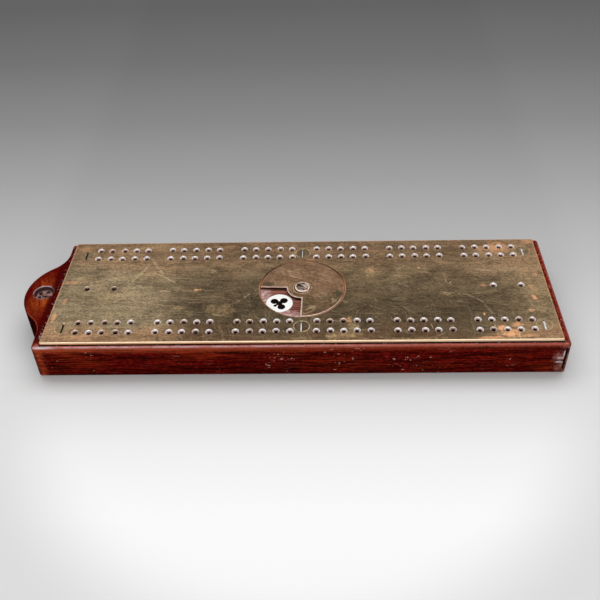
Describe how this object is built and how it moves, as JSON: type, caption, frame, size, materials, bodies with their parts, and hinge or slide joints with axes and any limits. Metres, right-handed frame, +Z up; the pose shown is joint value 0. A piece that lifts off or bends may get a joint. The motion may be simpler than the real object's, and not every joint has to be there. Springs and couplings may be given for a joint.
{
  "type": "cribbage box",
  "caption": "Flat cribbage box with a pegging plate, a turning suit indicator, a hanging handle and an end drawer for the pegs.",
  "frame": {"origin": "middle of the underside, straight below the pivot of the suit indicator", "axes": "+X along the length to the drawer end, -X to the handle, +Z up through the plate"},
  "size_m": [0.2638, 0.079, 0.0213],
  "materials": {
    "mahogany": "dark red-brown french polish, worn at the edges",
    "tray_wood": "unpolished mahogany",
    "plate_brass": "aged, finely scratched",
    "disc_brass": "aged, turned, rubbed at the rim",
    "screw_brass": "worn satin",
    "pin_brass": "dull",
    "bone": "polished bone",
    "ebony": "polished black",
    "red_inlay": "red-stained inlay"
  },
  "bodies": {
    "case": {"case_body": "mahogany", "base_board": "mahogany", "base_pins": "pin_brass", "top_plate": "plate_brass", "plate_screws": "screw_brass", "pivot_washer": "screw_brass", "pivot_screw": "screw_brass", "club_marker": "bone", "diamond_marker": "bone", "heart_marker": "bone", "spade_marker": "bone", "club_pip": "ebony", "diamond_pip": "red_inlay", "heart_pip": "red_inlay", "spade_pip": "ebony"},
    "indicator": {"indicator_disc": "disc_brass"},
    "drawer": {"drawer_facing": "mahogany", "drawer_front": "tray_wood", "drawer_back": "tray_wood", "drawer_side_left": "tray_wood", "drawer_side_right": "tray_wood", "drawer_floor": "tray_wood", "drawer_pins": "pin_brass", "bone_peg_a": "bone", "bone_peg_b": "bone", "ebony_peg_a": "ebony", "ebony_peg_b": "ebony"}
  },
  "joints": [
    {"name": "indicator_spin", "type": "hinge", "parent": "case", "child": "indicator", "pos_m": [0, 0, 0.0198], "axis": [0, 0, 1], "continuous": true},
    {"name": "drawer_slide", "type": "slide", "parent": "case", "child": "drawer", "axis": [1, 0, 0], "range_m": [0, 0.07]}
  ]
}
